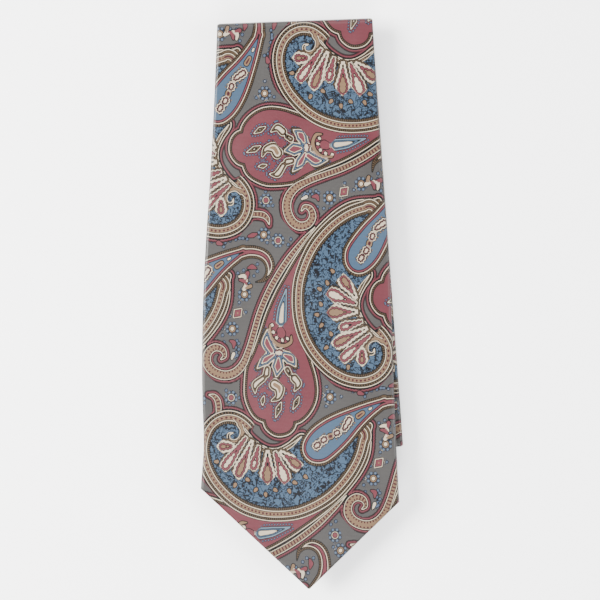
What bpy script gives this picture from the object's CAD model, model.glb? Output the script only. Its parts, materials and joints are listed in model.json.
"""A folded silk necktie: printed shells, creases, back details, studio and camera.

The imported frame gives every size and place. Lengths in the classes are millimetres
unless a name says otherwise, and meshes are written in metres.
"""
import json
import logging
import math
from dataclasses import dataclass, field
from enum import Enum

import bpy
import numpy as np
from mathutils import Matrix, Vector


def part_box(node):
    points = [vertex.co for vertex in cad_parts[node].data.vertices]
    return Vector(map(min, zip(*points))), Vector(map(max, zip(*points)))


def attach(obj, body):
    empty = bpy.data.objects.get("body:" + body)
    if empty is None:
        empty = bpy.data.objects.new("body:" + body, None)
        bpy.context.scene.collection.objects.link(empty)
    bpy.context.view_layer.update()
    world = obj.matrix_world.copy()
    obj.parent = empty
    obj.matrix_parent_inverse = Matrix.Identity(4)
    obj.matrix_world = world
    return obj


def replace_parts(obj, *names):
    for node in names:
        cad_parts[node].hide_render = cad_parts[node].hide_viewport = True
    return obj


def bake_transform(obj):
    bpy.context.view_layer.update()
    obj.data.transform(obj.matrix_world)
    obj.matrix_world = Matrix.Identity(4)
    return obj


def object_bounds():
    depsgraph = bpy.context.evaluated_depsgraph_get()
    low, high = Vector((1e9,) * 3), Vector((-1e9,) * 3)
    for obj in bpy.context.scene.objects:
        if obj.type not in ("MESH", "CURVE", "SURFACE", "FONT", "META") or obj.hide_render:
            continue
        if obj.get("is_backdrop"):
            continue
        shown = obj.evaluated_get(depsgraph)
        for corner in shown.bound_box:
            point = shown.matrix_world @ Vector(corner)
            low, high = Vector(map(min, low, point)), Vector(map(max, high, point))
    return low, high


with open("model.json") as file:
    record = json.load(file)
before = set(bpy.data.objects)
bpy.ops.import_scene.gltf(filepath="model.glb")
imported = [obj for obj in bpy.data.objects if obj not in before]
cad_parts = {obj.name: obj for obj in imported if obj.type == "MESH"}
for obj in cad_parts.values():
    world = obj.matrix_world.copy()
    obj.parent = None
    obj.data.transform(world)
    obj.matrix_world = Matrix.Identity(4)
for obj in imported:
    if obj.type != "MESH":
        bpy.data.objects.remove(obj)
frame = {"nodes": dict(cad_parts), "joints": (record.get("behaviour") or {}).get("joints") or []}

MM = 0.001
PANEL_THICK = 2.05
LOG = logging.getLogger("necktie")


class Slot(str, Enum):
    """Material slots of the record."""

    SILK = "paisley_silk"
    WOOL = "wool_interlining"
    LINING = "tipping_cloth"
    THREAD = "thread"
    LABEL = "label_ribbon"
    CARE = "care_ribbon"


class Motif(int, Enum):
    """Small drawn shapes of the print, by the way each one is coloured in."""

    LEAF = 0
    FLOWER_PETAL = 1
    DROP = 2
    CHAIN_FLOWER = 3
    ROSE_COMMA = 4
    CREAM_COMMA = 5
    TAN_BUD = 6
    FAN_CREAM = 7
    FAN_ROSE = 8


class Bloom(int, Enum):
    """Round flowers and beads that are strewn on the ground of the print."""

    BLUE = 0
    DIAMOND = 1
    ROSE = 2
    BEAD = 3


# Curves

def smooth_path(points: list, closed: bool = False, step: float = 0.9) -> np.ndarray:
    """Draw a smooth path through a few points.

    Each stretch is a Catmull-Rom cubic between two points, so the path passes through
    every point; a point given twice makes a corner.

    Args:
        points: the points as (x, y).
        closed: whether the path returns to its first point.
        step: distance between samples.

    Returns:
        The samples, with the first one repeated at the end of a closed path.
    """
    knots = np.array(points, float)
    if closed:
        knots = np.vstack([knots[-1], knots, knots[:2]])
    else:
        knots = np.vstack([2 * knots[0] - knots[1], knots, 2 * knots[-1] - knots[-2]])
    pieces = []
    for before, start, end, after in zip(knots, knots[1:], knots[2:], knots[3:]):
        count = max(2, int(np.ceil(np.linalg.norm(end - start) / step)))
        t = np.linspace(0, 1, count, endpoint=False)[:, None]
        pieces.append(0.5 * (2 * start + (end - before) * t
                             + (2 * before - 5 * start + 4 * end - after) * t ** 2
                             + (3 * start - before - 3 * end + after) * t ** 3))
    pieces.append(knots[-2][None])
    return np.vstack(pieces)


@dataclass
class Nearest:
    """Where each query point lies along a path."""

    distance: np.ndarray
    along: np.ndarray
    share: np.ndarray
    offset: np.ndarray


def nearest_on_path(points: np.ndarray, path: np.ndarray) -> Nearest:
    """Find the nearest spot of a path to each point.

    Each point is projected on every straight stretch, the projection is held between
    the stretch's ends, and the closest one wins.

    Args:
        points: query points, n by 2.
        path: path samples, m by 2.

    Returns:
        The distance, the arc length along the path, that length as a share of the
        whole, and the vector from the path to the point.
    """
    start = path[:-1].astype(np.float32)
    run = (path[1:] - path[:-1]).astype(np.float32)
    square = np.maximum((run ** 2).sum(1), 1e-9)
    length = np.concatenate([[0], np.cumsum(np.sqrt(square))])
    distance, along, offset = [], [], []
    for part in np.array_split(points.astype(np.float32), max(1, len(points) // 12000)):
        rel_x = part[:, :1] - start[None, :, 0]
        rel_y = part[:, 1:] - start[None, :, 1]
        t = np.clip((rel_x * run[:, 0] + rel_y * run[:, 1]) / square, 0, 1)
        rel_x -= t * run[:, 0]
        rel_y -= t * run[:, 1]
        gap = rel_x ** 2 + rel_y ** 2
        best = gap.argmin(1)
        row = np.arange(len(part))
        distance.append(np.sqrt(gap[row, best]))
        along.append(length[best] + t[row, best] * np.sqrt(square[best]))
        offset.append(np.stack([rel_x[row, best], rel_y[row, best]], 1))
    along = np.concatenate(along)
    return Nearest(np.concatenate(distance), along, along / length[-1],
                   np.vstack(offset))


def is_inside(points: np.ndarray, path: np.ndarray) -> np.ndarray:
    """Tell which points a closed path surrounds, by counting its crossings of a level ray."""
    low, high = path[:-1], path[1:]
    found = []
    for part in np.array_split(points, max(1, len(points) // 12000)):
        x, y = part[:, :1], part[:, 1:]
        crosses = (low[:, 1] > y) != (high[:, 1] > y)
        rise = np.where(high[:, 1] == low[:, 1], 1e-9, high[:, 1] - low[:, 1])
        at = low[:, 0] + (y - low[:, 1]) * (high[:, 0] - low[:, 0]) / rise
        found.append((crosses & (x < at)).sum(1) % 2 == 1)
    return np.concatenate(found)


# Print

@dataclass
class Shape:
    """A closed outline of the print, drawn in the cloth's own millimetres."""

    points: list
    kind: int = 0

    def __post_init__(self) -> None:
        """Work out the smooth outline once."""
        self.path = smooth_path(self.points, closed=True)

    def measure(self, points: np.ndarray) -> tuple:
        """Return the depth inside the outline and the arc length along it."""
        near = nearest_on_path(points, self.path)
        sign = np.where(is_inside(points, self.path), 1, -1)
        return near.distance * sign, near.along


@dataclass
class Stroke:
    """A tapered stroke: a smooth path with a half-width at each of its points."""

    points: list
    widths: list
    kind: int = 0

    def __post_init__(self) -> None:
        """Work out the smooth path and its half-widths once."""
        self.path = smooth_path(self.points, step=0.5)
        ends = np.array(self.points, float)
        share = np.concatenate([[0], np.cumsum(np.linalg.norm(np.diff(ends, axis=0), axis=1))])
        self.share = share / share[-1]

    def measure(self, points: np.ndarray) -> tuple:
        """Return the depth inside the stroke and the length along its side and round its ends.

        The depth is the half-width at the nearest spot less the distance from it. Past
        an end, the angle round it carries the length on, so a row of beads goes round.
        """
        near = nearest_on_path(points, self.path)
        half = np.interp(near.share, self.share, self.widths)
        tangent = np.where(near.share[:, None] > 0.5, self.path[-1] - self.path[-2],
                           self.path[1] - self.path[0])
        tangent = tangent / np.linalg.norm(tangent, axis=1)[:, None]
        forward = (near.offset * tangent).sum(1)
        turn = np.arcsin(np.clip(forward / np.maximum(near.distance, 1e-6), -1, 1))
        at_end = (near.share < 0.001) | (near.share > 0.999)
        return half - near.distance, near.along + np.where(at_end, turn * (half + 1.1), 0)


def petal(base: tuple, head: tuple, half: float, kind: Motif) -> Stroke:
    """Draw a petal on a thin stem that swells to a round head."""
    start, run = np.array(base), np.subtract(head, base)
    points = [tuple(start + run * share) for share in (0, 0.45, 0.78, 0.96)]
    return Stroke(points, [0.7, half * 0.5, half * 0.86, half * 0.8], kind)


@dataclass
class PaisleyPrint:
    """The printed pattern, one fundamental cell of it, measured as distance fields.

    The cell repeats by a shift of two glides along U, a shift of one height along V, and
    a glide: half the length along U with V turned over. Every field holds the signed
    distance to an outline and the length along it, so a material can draw bands, dots
    and scallops at any size.
    """

    glide: float = 79.0
    height: float = 101.0
    flip: float = 38.2
    step: float = 0.3
    reach: float = 7.5
    ribbon_reach: float = 3.5
    sprig_reach: float = 2.6
    bead_zone: float = 1.6
    bloom_zone: float = 3.9
    outer_share: float = 0.685
    outer_fade: float = 0.012
    blue_leaf: Shape = field(default_factory=lambda: Shape([
        (53.5, 3.6), (53.5, 3.6), (47, 7.2), (40, 9.3), (32, 10.1), (24, 9.6), (16, 7.4), (8, 3.6),
        (1.5, -1.7), (-3.6, -7.6), (-7.4, -14.5), (-9.4, -21.5), (-9.9, -28.5), (-9.2, -35.5),
        (-6.8, -42), (-2.5, -47.4), (3.5, -50.3), (9, -49.6), (12.8, -46.2), (14.2, -41),
        (13.8, -35), (14.6, -29), (16.5, -24.2), (20.3, -20.4), (26, -18.2), (33, -17),
        (34, -14), (42, -7), (49, 0)]))
    rose_leaf: Shape = field(default_factory=lambda: Shape([
        (60, 4.8), (60, 4.8), (52, 11.8), (44, 15), (34, 16.2), (24, 16), (14, 14.6), (4, 12.6),
        (-6, 10.2), (-16, 6.8), (-26, 2.2), (-34, -1.2), (-41, -3.6), (-47, -8.2), (-51.6, -13),
        (-54.2, -19), (-54.4, -23.5), (-52.8, -27), (-52.8, -27), (-54.4, -30.5), (-53.4, -35.5),
        (-49.5, -38.8), (-45.6, -39.2), (-43.2, -37.8), (-43.2, -37.8), (-40.5, -39.4),
        (-35.5, -39.9), (-30, -38.6), (-25.5, -35.6), (-21.5, -30.6), (-18, -24), (-14, -15.5),
        (-9.5, -8.5), (-4, -2.6), (3, 3.4), (12, 8.4), (22, 11), (34, 11.4), (46, 8.6)]))
    drop: Shape = field(default_factory=lambda: Shape([
        (29.7, -8), (30.8, -4.6), (34.5, -1.6), (41, -0.4), (49, 0), (58, -0.4), (66, 0),
        (74, 1.2), (74, 1.2), (67, -2.9), (60, -6.6), (53, -10), (46, -12.6), (39.5, -13.8),
        (34, -13.2), (30.8, -11.2)]))
    drop_tail: Stroke = field(default_factory=lambda: Stroke(
        [(73, 1), (77.2, 3.9), (80.3, 8), (81.2, 12), (79.8, 15.8), (76.6, 18), (72.6, 18.2),
         (69, 16)],
        [0, -0.2, -0.3, -0.4, -0.7, -1.5, -2.2, -3]))
    ribbons: list = field(default_factory=lambda: [
        Stroke([(30, 18.7), (22, 18.6), (11, 17.9), (1, 16.4), (-9, 14), (-19, 10.3), (-27.5, 6),
                (-35, 2.2), (-42, -0.4), (-48, -0.2), (-52.6, 2.8), (-55.2, 8), (-54.6, 13),
                (-50.8, 16), (-46.6, 15.4), (-44.6, 12), (-45.8, 9), (-48.2, 9.2)],
               [0.3, 1.1, 1.55, 1.6, 1.6, 1.6, 1.6, 1.7, 2, 2.2, 2.3, 2.3, 2.2, 2, 1.9, 1.6, 1.1,
                0.6]),
        Stroke([(15.4, -48.5), (15.6, -43.5), (13.6, -40), (10.2, -38.8), (7.4, -40.2),
                (6.6, -42.6), (8.2, -44.4), (10.2, -43.2)],
               [0.9, 1.2, 1.3, 1.2, 1.1, 1, 0.8, 0.4]),
        Stroke([(34, -17), (26.5, -17.9), (20, -20.3), (16.4, -24.2), (14.8, -30), (14.2, -37),
                (14.9, -44)],
               [0.3, 0.95, 1.05, 1.05, 1.05, 1.05, 1]),
        Stroke([(9.5, -54.3), (12.8, -56.2), (15.4, -59.4), (15.7, -62.4), (14.2, -65)],
               [0.8, 1.5, 1.6, 1.2, 0.3])])
    sprigs: list = field(default_factory=lambda: [
        # The fan of petals in the blue leaf, right to left
        petal((20.8, -19.4), (22.6, -8.8), 3.7, Motif.FAN_CREAM),
        petal((18.6, -21.4), (13, -9), 3.7, Motif.FAN_ROSE),
        petal((16.2, -24.4), (6.8, -15.4), 4.2, Motif.FAN_CREAM),
        petal((14.6, -29.4), (6, -24.6), 2.6, Motif.FAN_ROSE),
        petal((14, -33.6), (-1.8, -27.6), 3.6, Motif.FAN_CREAM),
        petal((13, -37), (-4.4, -35), 3, Motif.FAN_ROSE),
        Stroke([(4.6, -39.8), (1.8, -42.6)], [2, 2.7], Motif.FAN_CREAM),
        *[Stroke([(x, y), (x + dx, y + dy)], [1, 0.7], Motif.TAN_BUD)
          for x, y, dx, dy in ((21.4, -2.6, 0, 1), (10.8, -3.8, -0.3, 1), (15.4, -4.6, 0.4, 1),
                               (6, -9.2, 0.2, 0.9), (1.2, -11.2, -0.5, 0.7), (-0.6, -16.2, -1, 0),
                               (-0.4, -22.8, 0.2, 0.9), (-6.4, -25.4, -0.9, 0.3),
                               (-5.2, -39.6, -0.7, -0.7))],
        # The flower in the rose leaf
        Stroke([(-27.8, -8.4), (-32.5, -7.2), (-38.2, -7)], [2.1, 2.8, 0.4], Motif.FLOWER_PETAL),
        Stroke([(-27.6, -11.6), (-30.4, -14), (-33.8, -16.4)], [2.2, 3.3, 0.8],
               Motif.FLOWER_PETAL),
        Stroke([(-24.2, -12.6), (-23.2, -16), (-24, -20.4)], [2.2, 3.1, 0.4],
               Motif.FLOWER_PETAL),
        Stroke([(-27.4, -6.6), (-26.2, -2), (-22, 2)], [2.6, 2.9, 0.4], Motif.FLOWER_PETAL),
        Stroke([(-26, -9.2), (-24.8, -10.4)], [2.1, 2.1], Motif.CHAIN_FLOWER),
        Stroke([(-19.2, 2.6), (-22.4, -0.6), (-23.4, -4.8), (-21.6, -9), (-17.6, -10.6),
                (-15.2, -8.6)], [0.5, 0.8, 0.9, 0.9, 0.8, 0.4], Motif.TAN_BUD),
        *[Stroke([(x, y), (x + 0.1, y + 0.5)], [0.7, 0.7], Motif.CREAM_COMMA)
          for x, y in ((-18.4, 1.6), (-20.4, -1.2), (-21.2, -4.2), (-20, -7.2), (-17.6, -8.4))],
        Stroke([(-18, -4.4), (-17.4, -3.2)], [2.1, 1.9], Motif.ROSE_COMMA),
        Stroke([(-13.8, 0), (-9, 3.8), (-1, 8.8)], [2.7, 2.3, 0.3], Motif.DROP),
        Stroke([(-39.6, -12.4), (-44.6, -11.8), (-47.6, -14.6)], [1.7, 2, 0.3], Motif.LEAF),
        Stroke([(-37.6, -18.6), (-37.2, -21.6), (-40.4, -24), (-44, -23)], [2.9, 2.9, 1.8, 0.6],
               Motif.LEAF),
        Stroke([(-28.4, -23.8), (-29, -27), (-32.6, -28)], [2.2, 2, 0.5], Motif.LEAF),
        Stroke([(-41.4, -27), (-44.4, -28.2), (-48.4, -30)], [0.5, 1.6, 0.3], Motif.LEAF),
        Stroke([(-33.2, -31.6), (-36, -32.6), (-39.4, -33.6)], [0.5, 1.5, 0.3], Motif.LEAF),
        Stroke([(-45.4, -18.6), (-47.2, -19.6), (-49, -21.2)], [0.4, 1.2, 0.3], Motif.LEAF),
        Stroke([(-35, -10.8), (-37, -12.2)], [1.7, 1.9], Motif.LEAF),
        Stroke([(-28, -18.4), (-28.6, -20.6)], [1.6, 1.4], Motif.LEAF),
        # The chain of flowers in the drop
        Stroke([(35.6, -8.6), (36.6, -8.4)], [1.9, 1.9], Motif.CHAIN_FLOWER),
        Stroke([(40, -8), (40.8, -7.8)], [1.9, 1.9], Motif.CHAIN_FLOWER),
        Stroke([(43.6, -6.8), (44.2, -6.4)], [1.5, 1.5], Motif.TAN_BUD),
        Stroke([(47, -5.6), (47.8, -5.2)], [1.8, 1.8], Motif.CHAIN_FLOWER),
        Stroke([(51.6, -4.2), (56.2, -5.2)], [1.6, 2], Motif.CHAIN_FLOWER),
        Stroke([(60.6, -3.2), (63.4, -2.6)], [1.3, 1.1], Motif.TAN_BUD),
        Stroke([(67, -1.4), (68.2, -1)], [0.6, 0.5], Motif.CREAM_COMMA),
        # Commas strewn on the ground
        Stroke([(-38.8, 12), (-38.2, 10), (-40, 8.4)], [0.5, 1.2, 0.4], Motif.ROSE_COMMA),
        Stroke([(3, 39.8), (5, 38.6), (7, 37.6)], [0.6, 1.2, 0.4], Motif.ROSE_COMMA),
        Stroke([(-8, 29.6), (-6, 28.4), (-5, 26.4)], [0.4, 1.3, 0.4], Motif.ROSE_COMMA),
        Stroke([(-14, 30), (-12, 28.4), (-12.4, 25.4)], [0.5, 1, 0.4], Motif.CREAM_COMMA),
        Stroke([(-14.8, 28.6), (-13.6, 26.4), (-14, 24.4)], [0.6, 1, 0.4], Motif.ROSE_COMMA),
        Stroke([(-15, 23.6), (-13, 22.6)], [0.8, 0.9], Motif.TAN_BUD),
        Stroke([(62.6, 14.2), (64.6, 13)], [1, 0.4], Motif.CREAM_COMMA),
        Stroke([(67, 11.6), (69.2, 10.2)], [0.6, 1.1], Motif.ROSE_COMMA),
        Stroke([(-42, 6.4), (-44.4, 5.4)], [0.9, 0.5], Motif.CREAM_COMMA),
        Stroke([(-10, 48.6), (-9.2, 46.9)], [1.2, 0.6], Motif.ROSE_COMMA)])
    blooms: list = field(default_factory=lambda: [
        (-34, 15.2, Bloom.BLUE), (-18, 22.1, Bloom.BLUE), (9, 34.8, Bloom.BLUE),
        (-22, -43, Bloom.BLUE), (-26.8, 18.4, Bloom.DIAMOND), (12.2, 27.7, Bloom.ROSE),
        (21.4, 45.4, Bloom.ROSE),
        *[(x, y, Bloom.BEAD) for x, y in (
            (-39.6, 16.6), (-37.6, 19), (-41.4, 13.8), (-22.6, 21.4), (-23.6, 15.8),
            (-30.6, 20.4), (-13.2, 31.6), (-10.6, 26.6), (-10.2, 30.4), (-5.6, 25),
            (-3.2, 27.4), (-11.8, 51.4), (-9.4, 45.4), (-7.3, 46.2), (-5, 45), (-2.7, 43.4),
            (-0.8, 42.4), (0.4, 41.2), (1.6, 39.4), (7.6, 31), (17.2, 23.4), (14.4, 22.6),
            (-41.2, 4.6), (-38.6, 6), (-36.6, 8), (65.6, 9), (66.4, 14.2), (70.6, 13.4),
            (-19.8, -38.4), (-17.8, -47), (-26.4, -44.6), (-24.4, -39.4), (24.2, 48.4),
            (18.2, 47.6), (22, 41.2), (36.4, 33.2), (38.4, 32.2), (40, 30.4), (42.6, 28.6),
            (3.4, 29), (-33, 21.6), (29, 50))]])

    def copies(self) -> list:
        """Return every repeat that can reach the cell, as (U shift, V shift, V sign)."""
        shifts = [(m, n) for m in (-1, 0, 1) for n in (-1, 0, 1, 2)]
        plain = [(2 * self.glide * m, self.height * n, 1) for m, n in shifts]
        turned = [(2 * self.glide * m + self.glide, self.flip + self.height * n, -1)
                  for m, n in [(m, n) for m in (-2, -1, 0, 1) for n in (-1, 0, 1, 2)]]
        return plain + turned

    def near_copies(self, path: np.ndarray, reach: float) -> list:
        """Find the cell points near each repeat of a path, moved back into its own frame."""
        low, high = path.min(0) - reach, path.max(0) + reach
        found = []
        for shift_u, shift_v, sign in self.copies():
            local = np.stack([self.points[:, 0] - shift_u,
                              (self.points[:, 1] - shift_v) * sign], 1)
            near = np.flatnonzero(((local > low) & (local < high)).all(1))
            if len(near):
                found.append((near, local[near]))
        return found

    def lay(self, shapes: list, reach: float) -> np.ndarray:
        """Measure a family of shapes over the cell.

        Args:
            shapes: outlines or strokes.
            reach: how far outside a shape it is still measured.

        Returns:
            Depth, length and kind for each cell point. The deepest shape wins.
        """
        out = np.zeros((len(self.points), 3), np.float32)
        out[:, 0] = -reach - 2
        for shape in shapes:
            for near, local in self.near_copies(shape.path, reach):
                depth, along = shape.measure(local)
                better = depth > out[near, 0]
                chosen = near[better]
                out[chosen, 0] = depth[better]
                out[chosen, 1] = along[better]
                out[chosen, 2] = int(shape.kind)
        return out

    def lay_blue_leaf(self) -> np.ndarray:
        """Measure the blue leaf, with 1 on its outer curve and 0 on its hollow side as kind."""
        out = self.lay([self.blue_leaf], self.reach)
        length = np.linalg.norm(np.diff(self.blue_leaf.path, axis=0), axis=1).sum()
        outer = np.clip((self.outer_share - out[:, 1] / length) / self.outer_fade, 0, 1)
        out[:, 2] = np.where(out[:, 0] > -self.reach - 2, outer, 0)
        return out

    def lay_blooms(self) -> np.ndarray:
        """Give each cell point its distance and folded angle from a bloom, and the bloom's kind."""
        out = np.zeros((len(self.points), 3), np.float32)
        best = np.full(len(self.points), 9.0)
        out[:, 0] = 9
        for x, y, kind in self.blooms:
            zone = self.bead_zone if kind == Bloom.BEAD else self.bloom_zone
            for near, local in self.near_copies(np.array([[x, y]]), zone):
                rel = local - (x, y)
                radius = np.linalg.norm(rel, axis=1)
                share = radius / zone
                better = (share < best[near]) & (share < 1)
                chosen = near[better]
                best[chosen] = share[better]
                angle = np.arctan2(np.abs(rel[better, 1]), rel[better, 0])
                out[chosen] = np.column_stack([radius[better], angle, angle * 0 + int(kind)])
        return out

    def build(self) -> None:
        """Measure every field over the cell, with a margin so that it can be interpolated."""
        self.u = np.arange(-self.step, self.glide + 2 * self.step, self.step)
        self.v = np.arange(-self.step, self.height + 2 * self.step, self.step)
        grid = np.meshgrid(self.u, self.v, indexing="ij")
        self.points = np.stack([g.ravel() for g in grid], 1)
        self.fields = {
            "blue_leaf": self.lay_blue_leaf(),
            "rose_leaf": self.lay([self.rose_leaf], self.reach),
            "drop": self.lay([self.drop, self.drop_tail], self.reach),
            "ribbon": self.lay(self.ribbons, self.ribbon_reach),
            "sprig": self.lay(self.sprigs, self.sprig_reach),
            "bloom": self.lay_blooms()}
        shape = (len(self.u), len(self.v), 3)
        self.fields = {name: value.reshape(shape) for name, value in self.fields.items()}

    def sample(self, cloth: np.ndarray) -> dict:
        """Read the fields at points of the cloth.

        The point is brought into the cell: whole glides are taken off U, V is turned over
        for an odd number of them, and whole heights are taken off V. The four samples
        round it are then mixed by their closeness.

        Args:
            cloth: points as (U, V) in millimetres.

        Returns:
            For each field, its three values at each point.
        """
        count = np.floor(cloth[:, 0] / self.glide)
        odd = count.astype(int) % 2 == 1
        u = cloth[:, 0] - count * self.glide
        v = np.where(odd, self.flip - cloth[:, 1], cloth[:, 1]) % self.height
        col = (u - self.u[0]) / self.step
        row = (v - self.v[0]) / self.step
        i, j = col.astype(int), row.astype(int)
        a, b = (col - i)[:, None], (row - j)[:, None]
        out = {}
        for name, value in self.fields.items():
            mixed = (value[i, j] * (1 - a) * (1 - b) + value[i + 1, j] * a * (1 - b)
                     + value[i, j + 1] * (1 - a) * b + value[i + 1, j + 1] * a * b)
            if name in ("sprig", "bloom"):
                mixed[:, 2] = value[np.round(col).astype(int), np.round(row).astype(int), 2]
            out[name] = mixed
        return out


# Materials

def dye(red: int, green: int, blue: int) -> tuple:
    """Turn the screen colour that a cloth shows, 0 to 255, into its dye, with full alpha.

    The studio's bright light and its soft tone curve lift and flatten what they fall on,
    so the dye is deeper than the colour seen: its linear parts are raised and scaled.
    """
    parts = [(c / 255 / 12.92 if c < 10 else ((c / 255 + 0.055) / 1.055) ** 2.4)
             for c in (red, green, blue)]
    return tuple(0.4 * c ** 1.7 for c in parts) + (1.0,)


@dataclass(frozen=True)
class Inks:
    """Colours of the silk print, as dyed."""

    ground: tuple = dye(130, 128, 127)
    rose: tuple = dye(158, 108, 116)
    blue: tuple = dye(121, 141, 160)
    pale_blue: tuple = dye(152, 168, 180)
    navy: tuple = dye(38, 43, 62)
    bead: tuple = dye(128, 140, 158)
    cream: tuple = dye(226, 216, 200)
    tan: tuple = dye(172, 151, 130)
    khaki: tuple = dye(132, 116, 97)
    maroon: tuple = dye(118, 74, 84)
    line: tuple = dye(28, 22, 25)


class Graph:
    """A node tree with short ways to add and join nodes."""

    def __init__(self, tree: bpy.types.NodeTree) -> None:
        """Keep the tree."""
        self.tree = tree

    def node(self, kind: str, **settings: object) -> bpy.types.Node:
        """Add a node and set its properties."""
        made = self.tree.nodes.new(kind)
        for name, value in settings.items():
            setattr(made, name, value)
        return made

    def put(self, socket: bpy.types.NodeSocket, value: object) -> None:
        """Link a socket to another, or set it to a constant."""
        if isinstance(value, bpy.types.NodeSocket):
            self.tree.links.new(value, socket)
        elif value is not None:
            socket.default_value = value

    def math(self, operation: str, *values: object, clamp: bool = False) -> object:
        """Add a Math node on up to three values."""
        made = self.node("ShaderNodeMath", operation=operation, use_clamp=clamp)
        for socket, value in zip(made.inputs, values):
            self.put(socket, value)
        return made.outputs[0]

    def mix(self, factor: object, a: object, b: object, blend: str = "MIX") -> object:
        """Mix two colours."""
        made = self.node("ShaderNodeMix", data_type="RGBA", blend_type=blend)
        self.put(made.inputs[0], factor)
        self.put(made.inputs[6], a)
        self.put(made.inputs[7], b)
        return made.outputs[2]

    def noise(self, place: object, scale: float, detail: float = 2.0,
              distortion: float = 0.0) -> object:
        """Add a noise texture over a place and return its value."""
        made = self.node("ShaderNodeTexNoise")
        self.put(made.inputs["Vector"], place)
        for name, value in (("Scale", scale), ("Detail", detail), ("Distortion", distortion)):
            made.inputs[name].default_value = value
        return made.outputs[0]

    def split(self, name: str) -> tuple:
        """Read a three-part attribute and return its parts."""
        read = self.node("ShaderNodeAttribute", attribute_name=name)
        parts = self.node("ShaderNodeSeparateXYZ")
        self.put(parts.inputs[0], read.outputs["Vector"])
        return tuple(parts.outputs)

    def bands(self, depth: object, low: float, high: float, stops: list) -> tuple:
        """Colour a depth by steps.

        Args:
            depth: the depth socket, in millimetres.
            low: depth of the ramp's left end.
            high: depth of the ramp's right end.
            stops: (depth, colour or None); each colour holds from its depth to the next
                one, and None leaves what is beneath.

        Returns:
            The colour and alpha sockets.
        """
        place = self.node("ShaderNodeMapRange", clamp=True)
        for socket, value in zip(place.inputs, (depth, low, high, 0.0, 1.0)):
            self.put(socket, value)
        ramp = self.node("ShaderNodeValToRGB")
        ramp.color_ramp.interpolation = "CONSTANT"
        elements = ramp.color_ramp.elements
        while len(elements) > 1:
            elements.remove(elements[-1])
        lines = [colour == Inks.line for _, colour in stops]
        for index, (at, colour) in enumerate(stops):
            after_line = index > 0 and lines[index - 1]
            position = (at + (0.07 if after_line else -0.07 if lines[index] else 0) - low) \
                / (high - low)
            element = elements[0] if index == 0 else elements.new(position)
            element.position = max(0.0, position)
            element.color = colour if colour else (0, 0, 0, 0)
        self.put(ramp.inputs[0], place.outputs[0])
        return ramp.outputs[0], ramp.outputs[1]

    def group(self, tree: bpy.types.NodeTree, **values: object) -> bpy.types.Node:
        """Place a node group and set its inputs by name, with _ for a space."""
        made = self.node("ShaderNodeGroup", node_tree=tree)
        for name, value in values.items():
            self.put(made.inputs[name.replace("_", " ")], value)
        return made


def new_group(name: str, inputs: dict, outputs: dict) -> tuple:
    """Start a node group with named sockets.

    Args:
        name: the group's name.
        inputs: socket name to default value; a number makes a float socket and a
            three-part value a vector one.
        outputs: socket name to type, "Float" or "Vector" or "Color".

    Returns:
        The tree, its Graph, and the input and output nodes.
    """
    tree = bpy.data.node_groups.new(name, "ShaderNodeTree")
    for key, value in inputs.items():
        kind = "NodeSocketFloat" if isinstance(value, (int, float)) else "NodeSocketVector"
        socket = tree.interface.new_socket(key, in_out="INPUT", socket_type=kind)
        if kind == "NodeSocketFloat":
            socket.default_value = value
    for key, kind in outputs.items():
        tree.interface.new_socket(key, in_out="OUTPUT", socket_type="NodeSocket" + kind)
    graph = Graph(tree)
    return tree, graph, graph.node("NodeGroupInput"), graph.node("NodeGroupOutput")


def dot_row_group() -> bpy.types.NodeTree:
    """Make the group that draws a row of dots along an outline.

    A dot's middle lies at one depth, every pitch along the length. The mask is 1 where
    the distance to the nearest middle is under the radius.
    """
    tree, g, source, sink = new_group(
        "Dot Row", {"Depth": 0.0, "Along": 0.0, "Row": 0.0, "Pitch": 1.0, "Radius": 0.4},
        {"Mask": "Float"})
    turn = g.math("FRACT", g.math("DIVIDE", source.outputs["Along"], source.outputs["Pitch"]))
    across = g.math("MULTIPLY", g.math("SUBTRACT", turn, 0.5), source.outputs["Pitch"])
    deep = g.math("SUBTRACT", source.outputs["Depth"], source.outputs["Row"])
    gap = g.math("SQRT", g.math("ADD", g.math("POWER", across, 2.0), g.math("POWER", deep, 2.0)))
    g.put(sink.inputs["Mask"], g.math("LESS_THAN", gap, source.outputs["Radius"]))
    return tree


def dash_row_group() -> bpy.types.NodeTree:
    """Make the group that draws short dashes across a band, between two depths."""
    tree, g, source, sink = new_group(
        "Dash Row", {"Depth": 0.0, "Along": 0.0, "From": 0.0, "To": 1.0, "Pitch": 1.0,
                     "Share": 0.4}, {"Mask": "Float"})
    turn = g.math("FRACT", g.math("DIVIDE", source.outputs["Along"], source.outputs["Pitch"]))
    dash = g.math("LESS_THAN", turn, source.outputs["Share"])
    inside = g.math("MULTIPLY", g.math("GREATER_THAN", source.outputs["Depth"],
                                       source.outputs["From"]),
                    g.math("LESS_THAN", source.outputs["Depth"], source.outputs["To"]))
    g.put(sink.inputs["Mask"], g.math("MULTIPLY", dash, inside))
    return tree


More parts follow.
